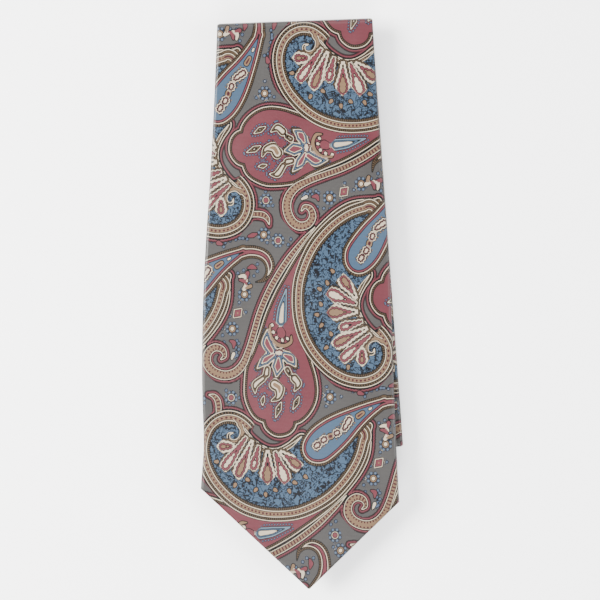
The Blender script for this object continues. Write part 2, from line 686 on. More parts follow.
def weave_group() -> bpy.types.NodeTree:
    """Make the group of a woven surface: slanting ribs crossed by finer threads.

    Ribs are a sine wave across a slanted direction, and a second sine along them breaks
    each rib into threads; a little noise makes some threads thicker.
    """
    tree, g, source, sink = new_group(
        "Weave", {"Place": (0, 0, 0), "Pitch": 0.6, "Slant": 0.8, "Noise": 0.3},
        {"Height": "Float", "Shade": "Float"})
    parts = g.node("ShaderNodeSeparateXYZ")
    g.put(parts.inputs[0], source.outputs["Place"])
    x, y = parts.outputs[0], parts.outputs[1]
    cos = g.math("COSINE", source.outputs["Slant"])
    sin = g.math("SINE", source.outputs["Slant"])
    across = g.math("ADD", g.math("MULTIPLY", x, cos), g.math("MULTIPLY", y, sin))
    along = g.math("SUBTRACT", g.math("MULTIPLY", y, cos), g.math("MULTIPLY", x, sin))
    rate = g.math("DIVIDE", 2 * math.pi, source.outputs["Pitch"])
    rib = g.math("SINE", g.math("MULTIPLY", across, rate))
    thread = g.math("SINE", g.math("MULTIPLY", along, g.math("MULTIPLY", rate, 1.4)))
    speck = g.noise(source.outputs["Place"], 1.1, detail=3.0)
    uneven = g.math("MULTIPLY", g.math("SUBTRACT", speck, 0.5), source.outputs["Noise"])
    height = g.math("ADD", g.math("MULTIPLY_ADD", rib, 0.5, 0.5),
                    g.math("MULTIPLY", thread, 0.22))
    height = g.math("ADD", height, uneven)
    g.put(sink.inputs["Height"], height)
    g.put(sink.inputs["Shade"], g.math("MULTIPLY_ADD", height, 0.24, 0.86))
    return tree


@dataclass
class Finish:
    """A cloth finish and how its surface takes light."""

    name: str
    roughness: float
    sheen: float
    specular: float

    def start(self) -> tuple:
        """Make the material and set the shader's own constants."""
        material = bpy.data.materials.new(self.name)
        material.use_nodes = True
        shader = material.node_tree.nodes["Principled BSDF"]
        shader.inputs["Roughness"].default_value = self.roughness
        shader.inputs["Sheen Weight"].default_value = self.sheen
        shader.inputs["Sheen Roughness"].default_value = 0.4
        shader.inputs["Specular IOR Level"].default_value = self.specular
        return material, Graph(material.node_tree), shader

    def raise_weave(self, g: Graph, shader: bpy.types.Node, height: object, strength: float,
                    rise: float) -> None:
        """Bump the surface by a height, whose full rise is given in millimetres."""
        bump = g.node("ShaderNodeBump")
        bump.inputs["Strength"].default_value = strength
        bump.inputs["Distance"].default_value = rise * MM
        g.put(bump.inputs["Height"], height)
        g.put(shader.inputs["Normal"], bump.outputs[0])


@dataclass
class PlainWeave(Finish):
    """A one-colour woven cloth, thread or ribbon, with uneven yarns."""

    colour: tuple = (0.5, 0.5, 0.5, 1.0)
    accent: tuple = (0.4, 0.4, 0.4, 1.0)
    pitch: float = 0.7
    bump: float = 0.3

    def build(self, weave: bpy.types.NodeTree) -> bpy.types.Material:
        """Make the material: colour mixed by slow noise and shaded by the weave."""
        material, g, shader = self.start()
        place = g.node("ShaderNodeTexCoord").outputs["Object"]
        scaled = g.node("ShaderNodeMapping")
        g.put(scaled.inputs["Vector"], place)
        scaled.inputs["Scale"].default_value = (1000, 1000, 1000)
        woven = g.group(weave, Place=scaled.outputs[0], Pitch=self.pitch, Noise=0.6)
        colour = g.mix(g.noise(scaled.outputs[0], 0.35), self.colour, self.accent)
        shaded = g.mix(1.0, colour, woven.outputs["Shade"], "MULTIPLY")
        g.put(shader.inputs["Base Color"], shaded)
        self.raise_weave(g, shader, woven.outputs["Height"], self.bump, 0.1)
        return material


@dataclass
class PrintedSilk(Finish):
    """Silk twill with the paisley print, painted from the print's fields."""

    inks: Inks = field(default_factory=Inks)
    coral_scales: tuple = (0.27, 0.31)
    coral_width: float = 0.029
    twill_pitch: float = 0.62
    twill_slant: float = 0.8
    twill_rise: float = 0.06

    def over(self, g: Graph, under: object, depth: object, low: float, high: float,
             stops: list) -> object:
        """Paint bands of one depth over a colour."""
        colour, alpha = g.bands(depth, low, high, stops)
        return g.mix(alpha, under, colour)

    def scalloped(self, g: Graph, depth: object, along: object, pitch: float,
                  size: float) -> object:
        """Push a depth in and out along its outline in round scallops."""
        wave = g.math("ABSOLUTE", g.math("SINE", g.math("MULTIPLY", along, math.pi / pitch)))
        return g.math("ADD", depth, g.math("MULTIPLY", wave, size))

    def ground(self, g: Graph, cloth: object) -> object:
        """Return the grey ground with strewn blooms and beads."""
        ink = self.inks
        radius, angle, kind = g.split("bloom")
        x = g.math("MULTIPLY", radius, g.math("COSINE", angle))
        y = g.math("MULTIPLY", radius, g.math("SINE", angle))
        colour = g.mix(g.math("MULTIPLY", g.noise(cloth, 0.12), 0.5), ink.ground,
                       tuple(c * 0.8 for c in ink.ground[:3]) + (1.0,))
        # Blue and rose flowers: eight round petals, a ring and a heart
        petals, ring = 8, 2.75
        turn = g.math("FRACT", g.math("MULTIPLY", angle, petals / (2 * math.pi)))
        side = g.math("MULTIPLY", g.math("SUBTRACT", turn, 0.5), 2 * math.pi / petals * ring)
        out = g.math("SUBTRACT", radius, ring)
        petal = g.math("SQRT", g.math("ADD", g.math("POWER", side, 2.0),
                                      g.math("POWER", out, 2.0)))
        petal = g.math("SUBTRACT", 0.82, petal)
        is_bloom = g.math("ADD", g.math("LESS_THAN", kind, 0.5),
                          g.math("COMPARE", kind, 2.0, 0.4))
        shown, alpha = g.bands(petal, -0.4, 1.0, [(-0.4, None), (-0.2, ink.navy),
                                                  (0.1, ink.bead), (0.55, ink.pale_blue)])
        colour = g.mix(g.math("MULTIPLY", alpha, is_bloom), colour, shown)
        rose = g.math("COMPARE", kind, 2.0, 0.4)
        heart = g.math("SUBTRACT", 1.95, radius)
        blue_c, blue_a = g.bands(heart, -0.2, 2.0, [(-0.2, None), (0, ink.line), (0.2, ink.tan),
                                                    (0.8, ink.line), (0.95, ink.cream)])
        rose_c, _ = g.bands(heart, -0.2, 2.0, [(-0.2, None), (0, ink.line),
                                                    (0.15, ink.cream), (0.55, ink.line),
                                                    (0.7, ink.rose), (1.6, ink.tan)])
        heart_c = g.mix(rose, blue_c, rose_c)
        colour = g.mix(g.math("MULTIPLY", blue_a, is_bloom), colour, heart_c)
        # Diamonds: the sum of the two distances, with a fringe of beads
        reach = g.math("ADD", g.math("DIVIDE", g.math("ABSOLUTE", x), 1.35),
                       g.math("ABSOLUTE", y))
        jewel = g.math("SUBTRACT", 2.75, reach)
        is_jewel = g.math("COMPARE", kind, 1.0, 0.4)
        shown, alpha = g.bands(jewel, -0.3, 2.8, [
            (-0.3, None), (-0.15, ink.line), (0.05, ink.cream), (0.6, ink.line), (0.8, ink.rose),
            (2.1, ink.tan)])
        colour = g.mix(g.math("MULTIPLY", alpha, is_jewel), colour, shown)
        # Beads
        bead = g.math("SUBTRACT", 0.85, radius)
        is_bead = g.math("COMPARE", kind, 3.0, 0.4)
        shown, alpha = g.bands(bead, -0.3, 0.9, [(-0.3, None), (-0.15, ink.navy),
                                                 (0.15, ink.bead), (0.62, ink.cream)])
        return g.mix(g.math("MULTIPLY", alpha, is_bead), colour, shown)

    def dots(self, g: Graph, under: object, ink: tuple, depth: object, along: object,
             row: float, pitch: float, radius: float) -> object:
        """Paint a row of dots over a colour."""
        mask = g.group(self.dot_row, Depth=depth, Along=along, Row=row, Pitch=pitch,
                       Radius=radius).outputs["Mask"]
        return g.mix(mask, under, ink)

    def dashes(self, g: Graph, under: object, ink: tuple, depth: object, along: object,
               start: float, end: float, pitch: float, share: float = 0.4) -> object:
        """Paint a row of dashes over a colour."""
        mask = g.group(self.dash_row, Depth=depth, Along=along, From=start, To=end,
                       Pitch=pitch, Share=share).outputs["Mask"]
        return g.mix(mask, under, ink)

    def squiggles(self, g: Graph, cloth: object) -> object:
        """Return the blue of the leaves, with a fine navy coral drawn on it.

        The coral is where two slow noises pass through their middle value.
        """
        ink = self.inks
        lines = []
        for scale, shift in zip(self.coral_scales, (0.0, 31.0)):
            moved = g.node("ShaderNodeMapping")
            g.put(moved.inputs["Vector"], cloth)
            moved.inputs["Location"].default_value = (shift, shift, 0)
            noise = g.noise(moved.outputs[0], scale, detail=2.5, distortion=0.9)
            away = g.math("ABSOLUTE", g.math("SUBTRACT", noise, 0.5))
            lines.append(g.math("LESS_THAN", away, self.coral_width))
        coral = g.math("MAXIMUM", lines[0], lines[1])
        return g.mix(coral, ink.blue, ink.navy)

    def halo(self, g: Graph, read: dict, colour: object) -> object:
        """Paint a maroon halo with beaded edges round the leaves and ribbons."""
        ink = self.inks
        rose_d, rose_s, _ = read["rose_leaf"]
        blue_d, blue_s, outer = read["blue_leaf"]
        blue_out = g.math("SUBTRACT", blue_d, g.math("MULTIPLY_ADD", outer, -4.6, -2.2))
        rose_out = g.math("ADD", rose_d, 1.9)
        edge = g.math("MAXIMUM", g.math("MAXIMUM", rose_out, blue_out), read["ribbon"][0])
        waved = self.scalloped(g, edge, g.math("ADD", rose_s, blue_s), 1.15, 0.28)
        return self.over(g, colour, waved, -2.4, 0.2, [
            (-2.4, None), (-1.75, ink.line), (-1.5, ink.maroon), (-0.95, ink.rose),
            (-0.35, ink.line)])

    def in_rose(self, g: Graph, read: dict) -> object:
        """Mask the rose leaf's field."""
        return g.math("GREATER_THAN", read["rose_leaf"][0], 0.1)

    def rose_leaf(self, g: Graph, read: dict, colour: object) -> object:
        """Paint the rose leaf: khaki dashes and a cream line round a blushing field."""
        ink = self.inks
        depth, along, _ = read["rose_leaf"]
        colour = self.over(g, colour, depth, -2.2, 0.6, [
            (-2.2, None), (-1.95, ink.line), (-1.75, ink.cream), (-1.2, ink.line),
            (-1.05, ink.khaki), (-0.15, ink.line), (0.1, ink.rose)])
        colour = self.dashes(g, colour, ink.line, depth, along, -1.05, -0.15, 0.95)
        blush = g.noise(read["cloth"], 0.09)
        share = g.math("MULTIPLY", g.math("MULTIPLY", self.in_rose(g, read), blush), 0.3)
        return g.mix(share, colour, ink.maroon)

    def ribbons(self, g: Graph, read: dict, colour: object) -> object:
        """Paint ribbons with maroon dots between two cream lines."""
        ink = self.inks
        depth, along, _ = read["ribbon"]
        colour = self.over(g, colour, depth, -0.4, 3.0, [
            (-0.4, None), (-0.2, ink.line), (0.0, ink.cream), (0.48, ink.line),
            (0.62, ink.tan)])
        return self.dots(g, colour, ink.maroon, depth, along, 1.15, 1.7, 0.42)

    def blue_leaf(self, g: Graph, read: dict, colour: object) -> object:
        """Paint the blue leaf: many bands on its outer curve, few in its hollow, and coral."""
        ink = self.inks
        depth, along, outer = read["blue_leaf"]
        inner = [(-2.2, ink.line), (-2.0, ink.cream), (-1.45, ink.line), (-1.3, ink.khaki),
                 (-0.2, ink.line), (0.05, ink.line)]
        wide = [(-7, None), (-6.75, ink.line), (-6.6, ink.cream), (-6.05, ink.line),
                (-5.85, ink.khaki), (-4.9, ink.line), (-4.7, ink.cream), (-4.15, ink.line),
                (-4.0, ink.tan), *inner]
        wide_c, wide_a = g.bands(depth, -7, 1, wide)
        thin_c, thin_a = g.bands(depth, -7, 1, [(-7, None), *inner])
        wide_c = self.dots(g, wide_c, ink.maroon, depth, along, -3.1, 1.75, 0.5)
        wide_c = self.dashes(g, wide_c, ink.line, depth, along, -5.85, -4.9, 0.95)
        band_c = g.mix(outer, thin_c, wide_c)
        band_a = g.math("ADD", g.math("MULTIPLY", wide_a, outer),
                        g.math("MULTIPLY", thin_a, g.math("SUBTRACT", 1.0, outer)))
        band_c = self.dashes(g, band_c, ink.line, depth, along, -1.3, -0.2, 0.95)
        colour = g.mix(g.math("GREATER_THAN", band_a, 0.5), colour, band_c)
        coral = self.squiggles(g, read["cloth"])
        bitten = self.scalloped(g, depth, along, 2.1, -0.5)
        return g.mix(g.math("GREATER_THAN", bitten, -0.05), colour, coral)

    def curls(self, g: Graph, read: dict, colour: object) -> object:
        """Paint the ribbons that curl on the blue leaf again, over it."""
        ink = self.inks
        depth = read["ribbon"][0]
        curl = g.math("MULTIPLY", g.math("GREATER_THAN", depth, -0.2),
                      g.math("GREATER_THAN", read["blue_leaf"][0], -2.4))
        shown, _ = g.bands(depth, -0.4, 3.0, [
            (-0.4, ink.line), (0.0, ink.cream), (0.5, ink.line), (0.65, ink.tan)])
        return g.mix(curl, colour, shown)

    def drop(self, g: Graph, read: dict, colour: object) -> object:
        """Paint the drop and its dashed rim."""
        ink = self.inks
        depth, along, _ = read["drop"]
        colour = self.over(g, colour, depth, -3.6, 0.5, [
            (-3.6, None), (-3.35, ink.line), (-3.15, ink.khaki), (-2.1, ink.line),
            (-1.95, ink.cream), (-1.4, ink.line), (-1.25, ink.maroon), (-0.85, ink.rose),
            (-0.2, ink.line), (0.0, ink.blue)])
        return self.dashes(g, colour, ink.line, depth, along, -3.15, -2.1, 0.95)

    def beads(self, g: Graph, read: dict, colour: object) -> object:
        """Paint beads that follow the small shapes on the rose field and in the drop."""
        ink = self.inks
        depth, along, kind = read["sprig"]
        in_rose = self.in_rose(g, read)
        on_field = g.math("MAXIMUM", in_rose, g.math("GREATER_THAN", read["drop"][0], 0.0))
        leafy = g.math("LESS_THAN", kind, Motif.CHAIN_FLOWER + 0.5)
        for radius, shade in ((0.6, ink.navy), (0.4, g.mix(in_rose, ink.tan, ink.bead))):
            mask = g.group(self.dot_row, Depth=depth, Along=along, Row=-1.15, Pitch=1.45,
                           Radius=radius).outputs["Mask"]
            colour = g.mix(g.math("MULTIPLY", g.math("MULTIPLY", mask, leafy), on_field),
                           colour, shade)
        return colour

    def build(self, weave: bpy.types.NodeTree, dot_row: bpy.types.NodeTree,
              dash_row: bpy.types.NodeTree) -> bpy.types.Material:
        """Make the material, painting the print from the ground up.

        Each layer takes the graph, the fields that it reads and the colour so far, and
        returns the colour with its own drawing over it.

        Args:
            weave: group of the twill.
            dot_row: group that draws rows of dots.
            dash_row: group that draws rows of dashes.

        Returns:
            The material.
        """
        self.dot_row, self.dash_row = dot_row, dash_row
        material, g, shader = self.start()
        cloth = g.node("ShaderNodeUVMap", uv_map="cloth").outputs[0]
        read = {name: g.split(name)
                for name in ("rose_leaf", "blue_leaf", "drop", "ribbon", "sprig")}
        read["cloth"] = cloth
        colour = self.ground(g, cloth)
        for layer in (self.halo, self.rose_leaf, self.ribbons, self.blue_leaf, self.curls,
                      self.drop, self.beads, self.sprigs):
            colour = layer(g, read, colour)
        return self.finish(g, shader, material, cloth, weave, colour)

    def sprigs(self, g: Graph, read: dict, colour: object) -> object:
        """Paint the small drawn shapes, each kind with its own rings of colour."""
        depth, along, kind = read["sprig"]
        ink = self.inks
        frilled = self.scalloped(g, depth, along, 2.2, 0.42)
        rings = {
            Motif.LEAF: (depth, [(-0.35, ink.line), (-0.1, ink.cream), (0.35, ink.line),
                                 (0.5, ink.khaki), (1.0, ink.line), (1.15, ink.cream),
                                 (2.0, ink.tan)]),
            Motif.FLOWER_PETAL: (depth, [(-1.1, ink.line), (-0.85, ink.khaki), (-0.4, ink.line),
                                         (-0.15, ink.cream), (0.4, ink.line), (0.6, ink.blue),
                                         (1.15, ink.line), (1.35, ink.cream), (1.75, ink.rose)]),
            Motif.DROP: (depth, [(-0.3, ink.line), (-0.05, ink.pale_blue), (0.7, ink.line),
                                 (0.85, ink.blue), (1.35, ink.line), (1.5, ink.cream)]),
            Motif.CHAIN_FLOWER: (frilled, [(-0.3, ink.line), (0, ink.cream), (0.6, ink.line),
                                           (0.75, ink.maroon), (1.5, ink.cream)]),
            Motif.ROSE_COMMA: (depth, [(-0.25, ink.line), (0, ink.rose)]),
            Motif.CREAM_COMMA: (depth, [(-0.25, ink.line), (0, ink.cream)]),
            Motif.TAN_BUD: (depth, [(-0.3, ink.line), (0, ink.tan), (0.8, ink.maroon)]),
            Motif.FAN_CREAM: (frilled, [(-1.2, ink.line), (-1.0, ink.khaki), (-0.45, ink.line),
                                        (-0.2, ink.cream), (0.95, ink.line), (1.15, ink.rose),
                                        (1.95, ink.line), (2.15, ink.tan)]),
            Motif.FAN_ROSE: (frilled, [(-1.1, ink.line), (-0.9, ink.khaki), (-0.5, ink.line),
                                       (-0.3, ink.cream), (0.35, ink.line), (0.55, ink.rose),
                                       (1.6, ink.line), (1.8, ink.cream)])}
        for motif, (measure, stops) in rings.items():
            shown, alpha = g.bands(measure, -1.5, 4.5, [(-1.5, None), *stops])
            chosen = g.math("COMPARE", kind, float(motif), 0.45)
            colour = g.mix(g.math("MULTIPLY", alpha, chosen), colour, shown)
        return colour

    def finish(self, g: Graph, shader: bpy.types.Node, material: bpy.types.Material,
               cloth: object, weave: bpy.types.NodeTree, colour: object) -> bpy.types.Material:
        """Lay the twill over the painted colour and join everything to the shader."""
        woven = g.group(weave, Place=cloth, Pitch=self.twill_pitch, Slant=self.twill_slant,
                        Noise=0.5)
        shaded = g.mix(1.0, colour, woven.outputs["Shade"], "MULTIPLY")
        g.put(shader.inputs["Base Color"], shaded)
        g.put(shader.inputs["Roughness"], g.math("MULTIPLY_ADD", g.noise(cloth, 0.06), 0.16,
                                                 self.roughness - 0.08))
        self.raise_weave(g, shader, woven.outputs["Height"], 0.35, self.twill_rise)
        return material


# Geometry

def make_mesh(name: str, points: np.ndarray, faces: list, material: bpy.types.Material,
              smooth: bool = True) -> bpy.types.Object:
    """Make an object at the origin from points in millimetres and lists of faces.

    Args:
        name: the object's name.
        points: n by 3, in millimetres.
        faces: corner indices of each face.
        material: its finish.
        smooth: whether its faces are shaded smooth.

    Returns:
        The object, linked to the scene.
    """
    mesh = bpy.data.meshes.new(name)
    mesh.from_pydata((points * MM).tolist(), [], faces)
    mesh.materials.append(material)
    mesh.polygons.foreach_set("use_smooth", np.full(len(mesh.polygons), smooth))
    mesh.update()
    made = bpy.data.objects.new(name, mesh)
    bpy.context.scene.collection.objects.link(made)
    LOG.info("%s: %d faces", name, len(faces))
    return made


def grid_faces(rows: int, columns: int, flip: bool, ring: bool = False,
               start: int = 0) -> np.ndarray:
    """Index the quads of a grid of points stored row by row.

    Args:
        rows: number of rows.
        columns: points in a row.
        flip: whether to turn the faces over.
        ring: whether each row closes on itself.
        start: index of the grid's first point.

    Returns:
        Quads as an array of four indices each.
    """
    row = np.arange(rows - 1)[:, None] * columns
    column = np.arange(columns if ring else columns - 1)[None]
    after = (column + 1) % columns
    quads = np.stack([row + column, row + after, row + columns + after, row + columns + column],
                     -1).reshape(-1, 4) + start
    return quads[:, ::-1] if flip else quads


def node_points(name: str) -> np.ndarray:
    """Return a CAD node's vertices in the shared frame, in millimetres."""
    node = frame["nodes"][name]
    flat = np.empty(len(node.data.vertices) * 3)
    node.data.vertices.foreach_get("co", flat)
    world = np.array(node.matrix_world)
    return (flat.reshape(-1, 3) @ world[:3, :3].T + world[:3, 3]) / MM


def corner(points: np.ndarray, x: float, y: float) -> np.ndarray:
    """Return the point that lies furthest in a direction, seen from above."""
    return points[(points[:, :2] @ (x, y)).argmax(), :2]


@dataclass
class Crease:
    """One crease of the tie, where a panel turns under itself.

    The hinge axis lies midway between the two panels; the cloth swings round it.
    """

    number: int
    pivot: np.ndarray
    along: np.ndarray
    out: np.ndarray
    half: float
    roll: float

    @classmethod
    def read(cls, number: int) -> "Crease":
        """Read the crease's hinge and its turned silk from the frame."""
        joint = next(j for j in frame["joints"] if j["name"] == f"crease_{number}")
        pivot = np.array(joint["pos_m"]) / MM
        along = np.array(joint["axis"])[:2]
        along = along * np.sign(along[0]) / np.linalg.norm(along)
        silk = node_points(f"silk_turn_{number}")
        half = np.abs((silk[:, :2] - pivot[:2]) @ along).max()
        out = np.array([-along[1], along[0]]) * (1 if number % 2 else -1)
        return cls(number, pivot, along, out, half, silk[:, 2].max() - pivot[2])

    def swing(self, row: np.ndarray, steps: int) -> np.ndarray:
        """Carry a row of points half round the crease, from the upper panel to the lower.

        Args:
            row: n by 3, at the upper panel's end. Each point keeps its distance from the axis.
            steps: how many copies of the row are laid out.

        Returns:
            The copies, steps by n by 3.
        """
        angle = np.linspace(0, math.pi, steps)[:, None]
        rise = (row[:, :2] - self.pivot[:2]) @ self.out
        radius = (row[:, 2] - self.pivot[2])[None]
        base = row[:, :2] - self.out * rise[:, None]
        reach = rise[None] * np.cos(angle) + radius * np.sin(angle)
        plan = base[None] + self.out * reach[..., None]
        return np.dstack([plan, self.pivot[2] + radius * np.cos(angle)])

    @property
    def ends(self) -> np.ndarray:
        """Left and right ends of the crease line."""
        return np.array([self.pivot[:2] - self.along * self.half,
                         self.pivot[:2] + self.along * self.half])


@dataclass
class Panel:
    """One flat layer of the tie, between two crease lines or a crease line and a tip."""

    number: int
    low: np.ndarray
    high: np.ndarray
    floor: float
    top: float
    tip: np.ndarray | None = None
    tack: float = 0.0

    NODES = {1: ("blade_shell_1",), 2: ("blade_shell_2",), 3: ("blade_shell_3", "neck_shell_3"),
             4: ("neck_shell_4",), 5: ("neck_shell_5", "tail_shell_5"), 6: ("tail_shell_6",)}
    BODIES = ("panel_1_blade", "panel_2_blade", "panel_3_blade_neck", "panel_4_neck",
              "panel_5_neck_tail", "panel_6_tail")

    @classmethod
    def read(cls, number: int, creases: list) -> "Panel":
        """Read the panel's outline and height from its shells and the creases."""
        points = np.vstack([node_points(n) for n in cls.NODES[number]])
        over = creases[number - 2].ends if number > 1 else None
        under = creases[number - 1].ends if number < 6 else None
        high, low = (under, over) if number % 2 else (over, under)
        tip, tack = None, 0.0
        if number in (1, 6):
            low = np.array([corner(points, -3, -1), corner(points, 3, -1)])
            tip = corner(points, 0, -1)
            name = "blade_bar_tack" if number == 1 else "tail_bar_tack"
            tack = node_points(name)[:, 1].mean()
        return cls(number, low, high, points[:, 2].min(), points[:, 2].max(), tip, tack)

    @property
    def body(self) -> str:
        """Name of the CAD body that the panel belongs to."""
        return self.BODIES[self.number - 1]

    @property
    def face_up(self) -> bool:
        """Whether the printed face looks up."""
        return self.number % 2 == 1

    def level(self, height: np.ndarray) -> np.ndarray:
        """Turn a height above the panel's back into Z."""
        return self.floor + height if self.face_up else self.top - height


@dataclass
class Swell:
    """A soft bulge of a panel's edge: how far out, where, and how long."""

    side: int
    out: float
    y: float
    length: float


@dataclass
class Layout:
    """Unfolds the creased tie onto one plane, where the print is drawn.

    Crossing a crease turns the plane over about its line and moves it on by the length
    of cloth that goes round the roll.
    """

    creases: list
    print_centre: tuple = (-1.009, 1.773)
    lean_u: float = 0.03
    lean_v: float = 0.049

    def unfold(self, number: int, points: np.ndarray) -> np.ndarray:
        """Bring points of a panel onto the first panel's plane."""
        for crease in reversed(self.creases[:number - 1]):
            rise = (points - crease.pivot[:2]) @ crease.out
            points = points + crease.out * (self.arc(crease) - 2 * rise)[:, None]
        return points

    def arc(self, crease: Crease) -> float:
        """Length of the printed face round a crease's roll."""
        return math.pi * (crease.roll - (0 if crease.number % 2 else PANEL_THICK))

    def cloth(self, number: int, points: np.ndarray, shift: tuple = (0, 0)) -> np.ndarray:
        """Give panel points their place on the cloth, whose grain is turned 45 degrees."""
        flat = self.unfold(number, points) - self.print_centre
        u = (flat[:, 0] + flat[:, 1]) / math.sqrt(2)
        v = (flat[:, 1] - flat[:, 0]) / math.sqrt(2)
        skew = 1 - self.lean_u * self.lean_v
        return np.stack([u - self.lean_u * v, v - self.lean_v * u], 1) / skew + shift


@dataclass
class Strip:
    """A length of the tie's silk tube between two lines across it.

    Rows run from the low line (or the tip) to the high line. Each row crosses the tie,
    and the section at a row is a rolled edge at each side, a face, and two flaps with
    their edges tucked under, which meet at the centre back.
    """

    panel: Panel
    low: np.ndarray
    high: np.ndarray
    row_step: float
    column_step: float
    swells: tuple = ()
    roll: float = 1.6
    hem: float = 11.0
    gap: float = 0.5
    tuck: float = 3.0
    tip_start: float = 0.012
    ripple: float = 0.0

    def __post_init__(self) -> None:
        """Lay out the rows and the slope of each edge."""
        length = np.linalg.norm(self.high.mean(0) - self.low.mean(0))
        share = np.linspace(0, 1, max(3, int(length / self.row_step)))[:, None]
        self.left = self.low[0] + (self.high[0] - self.low[0]) * share
        self.right = self.low[1] + (self.high[1] - self.low[1]) * share
        self.above = share[:, 0] * length
        side = [self.outward(self.low[0], self.high[0], -1),
                self.outward(self.low[1], self.high[1], 1)]
        self.edge_out = [np.repeat(n[None], len(share), 0) for n in side]
        tip = self.panel.tip
        self.tipped = tip is not None and np.allclose(self.low, self.panel.low)
        if self.tipped:
            drop = np.linalg.norm(self.low.mean(0) - tip)
            part = np.linspace(self.tip_start, 1, int(drop / self.row_step))[:-1, None]
            self.left = np.vstack([tip + (self.low[0] - tip) * part, self.left])
            self.right = np.vstack([tip + (self.low[1] - tip) * part, self.right])
            self.above = np.concatenate([(part[:, 0] - 1) * drop, self.above])
            slant = [self.outward(tip, self.low[0], -1), self.outward(tip, self.low[1], 1)]
            self.edge_out = [np.vstack([np.repeat(n[None], len(part), 0), old])
                             for n, old in zip(slant, self.edge_out)]
        for swell in self.swells:
            rows = self.left if swell.side < 0 else self.right
            bump = np.exp(-((rows[:, 1] - swell.y) / swell.length) ** 2)
            rows[:, 0] += swell.side * swell.out * bump * np.clip(self.above / 20, 0, 1)
        across = self.right - self.left
        self.width = np.linalg.norm(across, axis=1)
        self.across = across / self.width[:, None]
        self.lean = [np.abs((self.across * n).sum(1)) for n in self.edge_out]

    @staticmethod
    def outward(low: np.ndarray, high: np.ndarray, side: int) -> np.ndarray:
        """Return the unit vector square to an edge, away from the tie."""
        run = (high - low) / np.linalg.norm(high - low)
        return np.array([run[1], -run[0]]) * side

    def flap_reach(self) -> np.ndarray:
        """How far each flap reaches along the row from its edge.

        A flap meets its partner at the centre. Below the bar tack the two part in
        straight lines down to the hem, and round the tip they are the hem itself.
        """
        full = self.width / 2 - self.gap
        if not self.tipped:
            return full
        start = self.hem * math.tan(math.radians(22.5))
        slant = np.where(self.above < 0, self.hem / self.lean[0], self.hem + start - self.above)
        tack_at = self.panel.tack - self.low.mean(0)[1]
        share = np.clip((self.above - start) / (tack_at - start), 0, 1)
        opened = self.hem + (full - self.hem) * share
        return np.minimum(full, np.where(self.above < start, slant, opened))

    def roll_size(self, side: int) -> np.ndarray:
        """Sideways size of the rolled edge along each row, smaller where the tip narrows."""
        return np.minimum(self.roll / self.lean[side], self.width * 0.3)

    def around(self, side: int, turn: np.ndarray) -> tuple:
        """Return offsets, heights and cloth offsets of a rolled edge at some turns from the face."""
        size = self.roll_size(side)[:, None]
        thick = self.panel.top - self.panel.floor
        height = thick / 2 * (1 + np.cos(turn))[None] + 0 * size
        arc = (size * self.lean[side][:, None] + thick / 2) / 2 / self.lean[side][:, None]
        return size * (1 - np.sin(turn))[None], height, size - arc * turn[None]

    def face(self) -> tuple:
        """Return offsets from the left, heights and slips over the face, edge to edge."""
        turn = np.radians(np.linspace(112, 6, 11))
        left, left_h, left_c = self.around(0, turn)
        right, right_h, right_c = self.around(1, turn[::-1])
        count = max(4, int(self.width.max() / self.column_step))
        share = np.linspace(0, 1, count)[None]
        size = [self.roll_size(side)[:, None] for side in (0, 1)]
        thick = self.panel.top - self.panel.floor
        middle = size[0] + (self.width[:, None] - size[0] - size[1]) * share
        offset = np.hstack([left, middle, self.width[:, None] - right])
        height = np.hstack([left_h, thick + 0 * middle, right_h])
        slip_left = np.hstack([left - left_c, 0 * middle, 0 * right])
        slip_right = np.hstack([0 * left, 0 * middle, right - right_c])
        return offset, height, slip_left, slip_right

    def flap(self, side: int) -> tuple:
        """Return offsets from the side's edge, heights and slips over one flap.

        The row starts in the tucked allowance, goes round the flap's folded edge and
        over the flap, and ends a little past the middle of the rolled edge.
        """
        reach = self.flap_reach()[:, None]
        size = self.roll_size(side)[:, None]
        inner = np.maximum(reach - self.tuck, size)
        fold = np.radians(np.linspace(90, -90, 7))[None]
        count = max(3, int(reach.max() / (self.column_step * 1.25)))
        share = np.linspace(0, 1, count)[None] + 0 * reach
        edge = reach - 0.2 + 0.2 * np.cos(fold)
        flat = (reach - 0.3) + (size - reach + 0.3) * share
        turn = np.radians(np.linspace(174, 76, 9))
        rolled, rolled_h, rolled_c = self.around(side, turn)
        offset = np.hstack([inner, edge, flat, rolled])
        height = np.hstack([0.42 + 0 * inner, 0.22 + 0.2 * np.sin(fold) + 0 * reach,
                            0.02 + 0 * flat, np.maximum(rolled_h, 0.02)])
        wrapped = size - self.around(side, np.array([math.pi]))[2]
        slip = np.hstack([2 * inner - size + wrapped, 2 * edge - size + wrapped,
                          2 * flat - size * 2 + wrapped + size, rolled - rolled_c])
        return offset, height, slip

    def place(self, offset: np.ndarray) -> np.ndarray:
        """Turn offsets from the left end of each row into plan points."""
        return self.left[:, None] + self.across[:, None] * offset[..., None]

    def lifted(self, plan: np.ndarray, height: np.ndarray) -> np.ndarray:
        """Add the face's slow ripples, which fade at its edges and creases."""
        thick = self.panel.top - self.panel.floor
        x, y = plan[..., 0], plan[..., 1]
        wave = (np.sin(x / 11 + 1.3 * np.sin(y / 29)) * np.sin(y / 17 + 0.6)
                + 0.6 * np.sin(x / 6.5 - y / 23 + 2) + 0.5 * np.sin(y / 9 + x / 31))
        rim = np.minimum(np.linalg.norm(plan - self.left[:, None], axis=2),
                         np.linalg.norm(plan - self.right[:, None], axis=2))
        ends = np.minimum(self.above - self.above[0], self.above[-1] - self.above)
        fade = np.clip(rim / 9, 0, 1) * np.clip(ends / 14, 0, 1)[:, None]
        return height + self.ripple * np.clip(wave + 0.5, -0.7, 3) * fade * (height > thick * 0.97)


